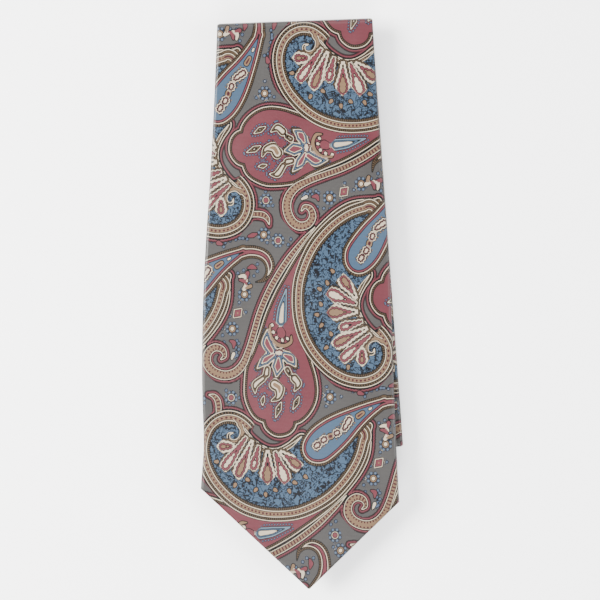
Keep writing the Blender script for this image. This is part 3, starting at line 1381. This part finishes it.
@dataclass
class Silk:
    """Turns strips of the tie into printed silk objects."""

    pattern: PaisleyPrint
    layout: Layout
    material: bpy.types.Material

    def dress(self, made: bpy.types.Object, cloth: np.ndarray) -> bpy.types.Object:
        """Give an object its print fields and its cloth map.

        Args:
            made: the object.
            cloth: each vertex's place on the cloth, in millimetres.

        Returns:
            The object.
        """
        mesh = made.data
        for name, value in self.pattern.sample(cloth).items():
            layer = mesh.attributes.new(name, "FLOAT_VECTOR", "POINT")
            layer.data.foreach_set("vector", value.astype(np.float32).ravel())
        corners = np.empty(len(mesh.loops), np.int32)
        mesh.loops.foreach_get("vertex_index", corners)
        cloth_map = mesh.uv_layers.new(name="cloth")
        cloth_map.data.foreach_set("uv", cloth[corners].astype(np.float32).ravel())
        return made

    def build(self, name: str, grids: list, number: int, shift: tuple = (0, 0)) -> object:
        """Make one object of several grids.

        Args:
            name: the object's name.
            grids: (points, plane points, flip) for each grid, rows by columns.
            number: the panel whose unfolding the plane points take.
            shift: offset of this length's print on the cloth.

        Returns:
            The object.
        """
        points = np.vstack([g[0].reshape(-1, 3) for g in grids])
        plane = np.vstack([g[1].reshape(-1, 2) for g in grids])
        faces, start = [], 0
        for grid, _, flip in grids:
            faces.append(grid_faces(grid.shape[0], grid.shape[1], flip, start=start))
            start += grid.shape[0] * grid.shape[1]
        made = make_mesh(name, points, np.vstack(faces).tolist(), self.material)
        return self.dress(made, self.layout.cloth(number, plane, shift))

    def face_grid(self, strip: Strip) -> tuple:
        """Lay out a strip's face."""
        offset, height, slip_left, slip_right = strip.face()
        plan = strip.place(offset)
        plane = (plan + strip.edge_out[0][:, None] * (slip_left * strip.lean[0][:, None])[..., None]
                 + strip.edge_out[1][:, None]
                 * (slip_right * strip.lean[1][:, None])[..., None])
        level = strip.panel.level(strip.lifted(plan, height))
        return np.dstack([plan, level]), plane, not strip.panel.face_up

    def flap_grid(self, strip: Strip, side: int) -> tuple:
        """Lay out one flap of a strip."""
        offset, height, slip = strip.flap(side)
        if side:
            offset = strip.width[:, None] - offset
        plan = strip.place(offset)
        plane = plan + strip.edge_out[side][:, None] * (slip * strip.lean[side][:, None])[..., None]
        flip = (side == 1) == strip.panel.face_up
        return np.dstack([plan, strip.panel.level(height)]), plane, flip

    def tube(self, strip: Strip, back: Strip) -> list:
        """Lay out a tube of silk: the face of one strip and both flaps of the other."""
        return [self.face_grid(strip), self.flap_grid(back, 0), self.flap_grid(back, 1)]

    def turned(self, grid: tuple, crease: Crease, steps: int, last: bool) -> tuple:
        """Carry the section at a crease line half round the crease.

        The print runs on by the length of the arc that the printed face makes.

        Args:
            grid: points, plane points and flip of the upper panel's grid.
            crease: the crease it goes round.
            steps: rows round the crease.
            last: whether the crease is at the grid's last row.

        Returns:
            Points, plane points and flip of the turned grid.
        """
        points, plane, flip = grid
        row = -1 if last else 0
        run_on = np.linspace(0, self.layout.arc(crease), steps)[:, None, None]
        return (crease.swing(points[row], steps), plane[row][None] + crease.out * run_on,
                flip if last else not flip)


def slab_grid(plan: np.ndarray, low: np.ndarray, high: np.ndarray) -> np.ndarray:
    """Close a grid of plan points into a thin slab, as rings round each row.

    Args:
        plan: rows by columns by 2.
        low: heights of the underside.
        high: heights of the upper side.

    Returns:
        Rows by twice the columns by 3: along the upper side and back under.
    """
    over = np.dstack([plan, high])
    under = np.dstack([plan, low])[:, ::-1]
    return np.hstack([over, under])


def closed_mesh(name: str, rings: np.ndarray, material: bpy.types.Material,
                flip: bool) -> bpy.types.Object:
    """Make a closed object from rings of points, with both ends capped.

    Args:
        name: the object's name.
        rings: rings by points by 3, in millimetres.
        material: its finish.
        flip: whether to turn the faces over.

    Returns:
        The object.
    """
    rows, columns = rings.shape[:2]
    faces = grid_faces(rows, columns, flip, ring=True).tolist()
    first = list(range(columns))
    last = [i + (rows - 1) * columns for i in first]
    faces += [first if flip else first[::-1], last[::-1] if flip else last]
    return make_mesh(name, rings.reshape(-1, 3), faces, material)


def islands(points: np.ndarray, faces: np.ndarray) -> list:
    """Split a mesh of loose triangles into connected pieces, as arrays of points.

    Equal points are joined first. Every piece then takes the smallest label of its
    members, spread along the triangles until nothing changes.

    Args:
        points: n by 3.
        faces: triangles, three indices each.

    Returns:
        The points of each piece.
    """
    keys, index = np.unique(np.round(points, 4), axis=0, return_inverse=True)
    triangles = index.reshape(-1)[faces]
    label = np.arange(len(keys))
    while True:
        lowest = label[triangles].min(1)
        after = label.copy()
        for column in range(3):
            np.minimum.at(after, triangles[:, column], lowest)
        if (after == label).all():
            return [keys[label == one] for one in np.unique(label)]
        label = after


@dataclass
class Stitching:
    """Threads that stand for a node of small box-shaped stitches."""

    material: bpy.types.Material
    sides: int = 8
    turns: int = 9

    def capsule(self, centre: np.ndarray, axes: np.ndarray, half: np.ndarray) -> tuple:
        """Return the points and quads of one plump stitch, pointed softly at both ends."""
        along = np.linspace(-1, 1, self.turns)[:, None]
        angle = np.linspace(0, 2 * math.pi, self.sides, endpoint=False)[None]
        plump = np.maximum(1 - np.abs(along) ** 3.5, 0.02) ** 0.5
        local = np.stack([along + 0 * angle, plump * np.cos(angle), plump * np.sin(angle)], -1)
        points = centre + (local * half) @ axes
        return points.reshape(-1, 3), grid_faces(self.turns, self.sides, False, ring=True)

    def build(self, name: str, node: str, body: str, satin: float = 0.0) -> bpy.types.Object:
        """Make one object of a node's stitches.

        Args:
            name: the object's name.
            node: the CAD node that it stands for.
            body: the body that it rides on.
            satin: if set, each stitch is filled with threads this far apart across it.

        Returns:
            The object.
        """
        mesh = frame["nodes"][node].data
        mesh.calc_loop_triangles()
        faces = np.array([t.vertices[:] for t in mesh.loop_triangles])
        points, quads, start = [], [], 0
        for island in islands(node_points(node), faces):
            centre = (island.max(0) + island.min(0)) / 2
            rel = island - centre
            axes = np.linalg.svd(rel)[2]
            if np.linalg.det(axes) < 0:
                axes[2] *= -1
            half = np.abs(rel @ axes.T).max(0)
            spots = [centre]
            if satin:
                count = int(2 * half[0] / satin)
                steps = (np.arange(count) + 0.5) / count * 2 - 1
                spots = [centre + axes[0] * half[0] * t for t in steps]
                axes = axes[[1, 0, 2]] * np.array([[1], [-1], [1]])
                half = np.array([half[1], satin * 0.56, half[2]])
            for spot in spots:
                more, faces_here = self.capsule(spot, axes, half)
                points.append(more)
                quads.append(faces_here + start)
                start += len(more)
        made = make_mesh(name, np.vstack(points), np.vstack(quads).tolist(), self.material)
        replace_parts(made, node)
        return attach(made, body)


@dataclass
class SilkLength:
    """One length of silk: its panel, its two end lines, what it stands for and lies on.

    The shift moves its print, the cell is the size of its face's quads, and the joins are
    the seams that are sewn to it.
    """

    name: str
    panel: Panel
    low: np.ndarray
    high: np.ndarray
    node: str
    below: str
    shift: tuple
    cell: float = 0.8
    ripple: float = 0.05
    joins: list = field(default_factory=list)

    def flat(self, lap: float) -> tuple:
        """Return the flat width, both faces and a lap, and the flat length, in metres."""
        ends = np.linalg.norm([self.low[1] - self.low[0], self.high[1] - self.high[0]], axis=1)
        tall = np.linalg.norm(self.high.mean(0) - self.low.mean(0))
        if self.panel.tip is not None:
            tall += np.linalg.norm(self.low.mean(0) - self.panel.tip)
        return (1 + lap) * ends.max() * MM, tall * MM


@dataclass
class Necktie:
    """The whole tie: silk lengths, turned creases, wool, tipping and back details."""

    pattern: PaisleyPrint
    silk: bpy.types.Material
    wool: bpy.types.Material
    lining: bpy.types.Material
    thread: bpy.types.Material
    label: bpy.types.Material
    care: bpy.types.Material
    swells: tuple = (Swell(-1, 2.2, 4, 62), Swell(-1, -1.2, -72, 22), Swell(1, 1.6, 18, 52))
    neck_print: tuple = (31.0, 12.0)
    tail_print: tuple = (14.0, 57.0)
    keeper_print: tuple = (-36.0, 20.0)
    turn_steps: int = 25
    back_cell: float = 1.05
    lap: float = 1.05
    cut_share: float = 0.9

    MAIN_SILK = {1: "blade_silk_1", 2: "blade_silk_2", 3: "blade_silk_3", 4: "neck_silk_4",
                 5: "tail_silk_5", 6: "tail_silk_6"}

    def __post_init__(self) -> None:
        """Read the creases and panels from the frame."""
        self.creases = [Crease.read(n) for n in range(1, 6)]
        self.panels = [Panel.read(n, self.creases) for n in range(1, 7)]
        self.layout = Layout(self.creases)
        self.maker = Silk(self.pattern, self.layout, self.silk)
        self.silk_folds, self.wool_folds = {}, {}

    def swells_of(self, panel: Panel) -> tuple:
        """Return the bulges of a panel's edges, which only the blade's face length has."""
        return self.swells if panel.number == 1 else ()

    def seam_line(self, node: str, panel: Panel, side: int) -> np.ndarray:
        """Find where a slanting seam's edge crosses the panel's two side edges."""
        points = node_points(node)
        slant = np.array([-side, side]) / math.sqrt(2)
        reach = (points[:, :2] @ slant).max()
        ends = []
        for low, high in zip(panel.low, panel.high):
            run = high - low
            ends.append(low + run * (reach - low @ slant) / (run @ slant))
        return np.array(ends)

    def silk_length(self, part: SilkLength) -> None:
        """Make one length of silk: its face and the flaps that fold behind it."""
        panel = part.panel
        swells = self.swells_of(panel)
        strip = Strip(panel, part.low, part.high, part.cell, part.cell, swells=swells,
                      ripple=part.ripple)
        back = Strip(panel, part.low, part.high, self.back_cell, self.back_cell, swells=swells)
        made = self.maker.build(part.name, self.maker.tube(strip, back), panel.number, part.shift)
        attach(made, panel.body)
        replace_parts(made, part.node)
        flat = part.flat(self.lap)

    def build_silk(self) -> None:
        """Make every length of silk, panel by panel, and the two slanting seams."""
        p1, p2, p3, p4, p5, p6 = self.panels
        up = self.seam_line("blade_neck_seam", p3, -1), self.seam_line("blade_neck_seam", p3, 1)
        down = self.seam_line("neck_tail_seam", p5, -1), self.seam_line("neck_tail_seam", p5, 1)
        up_join = self.build_join("blade_neck_join", p3, up, "blade_neck_seam")
        down_join = self.build_join("neck_tail_join", p5, down, "neck_tail_seam")
        plain, neck, tail = (0.0, 0.0), self.neck_print, self.tail_print
        for part in (
                SilkLength("blade_silk_1", p1, p1.low, p1.high, "blade_shell_1", "blade_silk_2",
                           plain, cell=0.65, ripple=0.4),
                SilkLength("blade_silk_2", p2, p2.low, p2.high, "blade_shell_2", "blade_silk_3",
                           plain),
                SilkLength("blade_silk_3", p3, p3.low, up[0], "blade_shell_3", "neck_silk_4",
                           plain, joins=[up_join]),
                SilkLength("neck_silk_3", p3, up[1], p3.high, "neck_shell_3", "neck_silk_4", neck),
                SilkLength("neck_silk_4", p4, p4.low, p4.high, "neck_shell_4", "neck_silk_5",
                           neck),
                SilkLength("neck_silk_5", p5, p5.low, down[0], "neck_shell_5", "tail_silk_6",
                           neck),
                SilkLength("tail_silk_5", p5, down[1], p5.high, "tail_shell_5", "tail_silk_6",
                           tail, joins=[down_join]),
                SilkLength("tail_silk_6", p6, p6.low, p6.high, "tail_shell_6", "studio_floor",
                           tail, ripple=0.0)):
            self.silk_length(part)

    def build_join(self, name: str, panel: Panel, lines: tuple, node: str) -> bpy.types.Object:
        """Make the slanting seam between two lengths of silk."""
        strip = Strip(panel, lines[0], lines[1], 0.25, 1.0)
        made = self.maker.build(name, self.maker.tube(strip, strip), panel.number,
                                self.neck_print)
        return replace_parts(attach(made, panel.body), node)

    def build_turns(self) -> None:
        """Carry the silk round each crease, bending between its two panels."""
        for crease in self.creases:
            upper, under = self.panels[crease.number - 1], self.panels[crease.number]
            strip = Strip(upper, upper.low, upper.high, 1.0, 0.8, swells=self.swells_of(upper))
            last = upper.face_up
            shift = (0.0, 0.0) if crease.number < 3 else (
                self.neck_print if crease.number < 5 else self.tail_print)
            grids = [self.maker.turned(grid, crease, self.turn_steps, last)
                     for grid in self.maker.tube(strip, strip)]
            made = self.maker.build(f"silk_fold_{crease.number}", grids, upper.number, shift)
            self.bend(made)
            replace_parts(made, f"silk_turn_{crease.number}")
            self.silk_folds[crease.number] = made

    def bend(self, made: bpy.types.Object) -> None:
        """Let a turned piece follow both panels of its crease."""
        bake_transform(made)

    def wool_rings(self, panel: Panel, trimmed: bool, inset: float = 1.0,
                   step: float = 3.0) -> tuple:
        """Lay out a panel's wool slab as closed rings, row by row.

        Args:
            panel: the panel it fills.
            trimmed: whether both ends stop a little short, so that they meet freely.
            inset: how far in from the tie's edges it stays.
            step: distance between rows and between points.

        Returns:
            The rings and the strip that they follow.
        """
        swells = self.swells_of(panel)
        ends = np.array([panel.low, panel.high])
        short = (ends[::-1] - ends) / np.linalg.norm(ends[1] - ends[0], axis=1)[:, None] * 0.3
        low, high = ends + short * (1 if trimmed else 0)
        if panel.tip is not None:
            low = panel.low
        strip = Strip(panel, low, high, step, step, swells=swells, tip_start=0.08)
        share = np.linspace(0, 1, max(8, int(strip.width.max() / step)))[None]
        plan = strip.place(inset + (strip.width[:, None] - 2 * inset) * share)
        cad = node_points(f"interlining_{panel.number}")
        rim = 0.25 * np.exp(-(np.minimum(share, 1 - share) / 0.02))
        spare = 0.15 if panel.face_up else 0.0
        low = cad[:, 2].min() + spare + rim + 0 * plan[..., 0]
        high = cad[:, 2].max() + spare - 0.15 - rim + 0 * plan[..., 0]
        return slab_grid(plan, low, high), strip

    def build_wool_folds(self) -> None:
        """Carry the wool round each crease."""
        for crease in self.creases:
            upper, under = self.panels[crease.number - 1], self.panels[crease.number]
            rings, _ = self.wool_rings(upper, False)
            row = rings[-1 if upper.face_up else 0]
            turned = crease.swing(row, self.turn_steps)
            made = closed_mesh(f"wool_fold_{crease.number}", turned, self.wool,
                               not upper.face_up)
            self.bend(made)
            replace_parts(made, f"interlining_turn_{crease.number}")
            self.wool_folds[crease.number] = made

    def build_wool(self) -> None:
        """Make the wool interlining of each panel."""
        for panel in self.panels:
            rings, strip = self.wool_rings(panel, True)
            made = closed_mesh(f"wool_{panel.number}", rings, self.wool, False)
            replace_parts(made, f"interlining_{panel.number}")
            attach(made, panel.body)

    def build_tipping(self, panel: Panel, node: str, name: str) -> None:
        """Make a tip's lining, tucked under the hem and sagging a little between."""
        strip = Strip(panel, panel.low, panel.high, 1.2, 1.2, tip_start=0.14)
        cad = node_points(node)
        keep = strip.left[:, 1] < cad[:, 1].max()
        share = np.linspace(0, 1, 60)[None]
        inset = (4.2 / strip.lean[0])[:, None]
        plan = strip.place(inset + (strip.width[:, None] - 2 * inset) * share)[keep]
        sag = np.sin(share * math.pi) * np.clip((strip.above[keep] + 20) / 40, 0, 1)[:, None]
        height = 0.62 - 0.14 * sag + 0.03 * np.sin(plan[..., 0] / 5 + plan[..., 1] / 13)
        rings = slab_grid(plan, panel.level(height), panel.level(height + 0.06))
        if not panel.face_up:
            rings = slab_grid(plan, panel.level(height + 0.06), panel.level(height))
        made = closed_mesh(name, rings, self.lining, False)
        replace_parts(made, node)
        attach(made, panel.body)

    def build_stitches(self) -> None:
        """Make every row of stitches."""
        sewing = Stitching(self.thread)
        for panel in self.panels:
            sewing.build(f"slip_stitch_row_{panel.number}", f"slip_stitches_{panel.number}",
                         panel.body)
        top, bottom = self.panels[0].body, self.panels[-1].body
        for name, node, body, satin in (
                ("blade_hem_row", "blade_hem_stitches", top, 0.0),
                ("tail_hem_row", "tail_hem_stitches", bottom, 0.0),
                ("blade_tack", "blade_bar_tack", top, 0.45),
                ("tail_tack", "tail_bar_tack", bottom, 0.45),
                ("keeper_tack_pair", "keeper_tacks", top, 0.4),
                ("maker_label_row", "maker_label_stitches", top, 0.0),
                ("care_label_row", "care_label_stitches", top, 0.0)):
            sewing.build(name, node, body, satin)

    def build_keeper(self) -> None:
        """Make the silk strap on the blade's back that the tail is passed through."""
        low, high = (np.array(side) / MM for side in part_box("keeper_loop"))
        foot, thick, steps = 4.0, 0.35, 61
        x = np.linspace(low[0], high[0], steps)
        inward = np.minimum(x - low[0], high[0] - x)
        drop = np.clip((inward - foot * 0.5) / (foot * 0.8), 0, 1)
        drop = drop * drop * (3 - 2 * drop)
        under = high[2] - thick - (high[2] - low[2] - thick) * drop
        section = np.linspace(0, 2 * math.pi, 24, endpoint=False)[None]
        half = (high[1] - low[1]) / 2
        y = (low[1] + high[1]) / 2 + half * np.sign(np.cos(section)) \
            * np.abs(np.cos(section)) ** 0.35 + 0 * x[:, None]
        z = under[:, None] + thick / 2 * (1 + np.sign(np.sin(section))
                                          * np.abs(np.sin(section)) ** 0.6)
        rings = np.dstack([x[:, None] + 0 * section, y, z])
        made = closed_mesh("keeper_strap", rings, self.silk, False)
        self.maker.dress(made, rings[..., :2].reshape(-1, 2) + self.keeper_print)
        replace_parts(made, "keeper_loop")
        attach(made, self.panels[0].body)

    def build_label(self, name: str, node: str, finish: bpy.types.Material,
                    wave: float) -> None:
        """Make a blank ribbon label, with a folded edge at each end and a faint wave.

        Args:
            name: the object's name.
            node: the CAD node that it stands for.
            finish: its material.
            wave: height of the wave.
        """
        low, high = (np.array(side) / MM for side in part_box(node))
        x = np.linspace(low[0], high[0], 60)[:, None]
        y = np.linspace(low[1], high[1], 26)[None]
        edge = np.minimum(x - low[0], high[0] - x)
        fold = np.exp(-(edge / 2.2) ** 6) * 0.05
        lift = wave * (0.5 + 0.5 * np.sin(y / 3.1 + x / 9)) + fold
        plan = np.dstack([x + 0 * y, y + 0 * x])
        under = low[2] + 0.06 - lift + 0 * plan[..., 0]
        rings = slab_grid(plan, under, high[2] - 0.02 + 0 * under)
        made = closed_mesh(name, rings, finish, True)
        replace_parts(made, node)
        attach(made, self.panels[0].body)

    def build(self) -> None:
        """Make everything in order, from the silk to the labels."""
        self.build_turns()
        self.build_wool_folds()
        self.build_silk()
        self.build_wool()
        self.build_tipping(self.panels[0], "blade_tipping", "blade_lining")
        self.build_tipping(self.panels[-1], "tail_tipping", "tail_lining")
        self.build_stitches()
        self.build_keeper()
        self.build_label("maker_ribbon", "maker_label", self.label, 0.05)
        self.build_label("care_ribbon_tag", "care_label", self.care, 0.06)


# Studio

@dataclass(frozen=True)
class Lamp:
    """A square soft light that faces the object: its place, side, power and colour."""

    name: str
    at: tuple
    size: float
    power: float
    tint: tuple = (1.0, 1.0, 1.0)

    def build(self) -> None:
        """Make the light."""
        light = bpy.data.lights.new(self.name, "AREA")
        light.size, light.energy, light.color = self.size, self.power, self.tint
        made = bpy.data.objects.new(self.name, light)
        made.location = self.at
        away = np.array(self.at) / np.linalg.norm(self.at)
        made.rotation_euler = (math.acos(away[2]), 0, math.atan2(away[0], -away[1]))
        bpy.context.scene.collection.objects.link(made)


@dataclass
class Studio:
    """Camera straight above, pale floor and soft light from the upper left. Metres."""

    camera_at: tuple = (-0.00103, 0.00176, 0.9)
    view_width: float = 0.2946
    lamps: tuple = (
        Lamp("key_light", (-0.95, 0.2, 0.95), 0.7, 85.0, (1.0, 0.99, 0.97)),
        Lamp("fill_light", (1.0, -0.2, 0.95), 0.9, 34.0, (0.97, 0.98, 1.0)),
        Lamp("front_light", (-0.1, -1.1, 1.0), 0.9, 40.0),
        Lamp("back_light", (0.1, 1.1, 1.0), 0.9, 22.0),
        Lamp("sheen_light", (-0.08, -0.2, 1.3), 0.16, 3.2))
    floor_size: float = 12.0
    floor_shade: tuple = (0.93, 0.93, 0.935, 1.0)

    def build_camera(self, level: float) -> None:
        """Make the camera, whose view has the wanted width at the object's top."""
        lens = bpy.data.cameras.new("camera")
        lens.angle = 2 * math.atan(self.view_width / 2 / (self.camera_at[2] - level))
        lens.clip_start = 0.01
        camera = bpy.data.objects.new("camera", lens)
        camera.location = self.camera_at
        bpy.context.scene.collection.objects.link(camera)
        bpy.context.scene.camera = camera

    def build_floor(self) -> None:
        """Make the floor that the tie lies on."""
        material = bpy.data.materials.new("floor_paint")
        material.use_nodes = True
        g = Graph(material.node_tree)
        shader = material.node_tree.nodes["Principled BSDF"]
        shader.inputs["Roughness"].default_value = 0.9
        shader.inputs["Specular IOR Level"].default_value = 0.1
        grain = g.noise(g.node("ShaderNodeTexCoord").outputs["Object"], 6.0)
        darker = tuple(c * 0.985 for c in self.floor_shade[:3]) + (1.0,)
        g.put(shader.inputs["Base Color"], g.mix(grain, self.floor_shade, darker))
        half = self.floor_size / 2 / MM
        points = np.array([(-half, -half, 0), (half, -half, 0), (half, half, 0), (-half, half, 0)])
        make_mesh("studio_floor", points, [[0, 1, 2, 3]], material, smooth=False)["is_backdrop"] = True

    def build(self, level: float) -> None:
        """Make the whole studio."""
        self.build_camera(level)
        self.build_floor()
        for lamp in self.lamps:
            lamp.build()


def main() -> None:
    """Build the studio and the tie, and keep both boxes."""
    logging.basicConfig(level=logging.INFO, format="%(message)s")
    cad_box = [list(map(float, side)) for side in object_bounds()]
    Studio().build(cad_box[1][2])
    pattern = PaisleyPrint()
    pattern.build()
    LOG.info("print: %d points", len(pattern.points))
    weave, dot_row, dash_row = weave_group(), dot_row_group(), dash_row_group()
    silk = PrintedSilk("paisley_silk", 0.34, 0.03, 0.2).build(weave, dot_row, dash_row)
    wool = PlainWeave("wool_interlining", 0.85, 0.4, 0.2, dye(226, 219, 200),
                      dye(206, 196, 172), 0.9, 0.6).build(weave)
    lining = PlainWeave("tipping_cloth", 0.5, 0.1, 0.2, dye(52, 58, 78),
                        dye(40, 45, 62), 0.4, 0.25).build(weave)
    thread = PlainWeave("thread", 0.6, 0.2, 0.3, dye(124, 92, 88),
                        dye(98, 72, 72), 0.35, 0.5).build(weave)
    label = PlainWeave("label_ribbon", 0.5, 0.05, 0.2, dye(30, 30, 34),
                       dye(22, 22, 26), 0.45, 0.4).build(weave)
    care = PlainWeave("care_ribbon", 0.55, 0.15, 0.4, dye(222, 214, 198),
                      dye(208, 199, 182), 0.4, 0.35).build(weave)
    Necktie(pattern, silk, wool, lining, thread, label, care).build()
    bpy.context.view_layer.update()


if __name__ == "__main__":
    main()
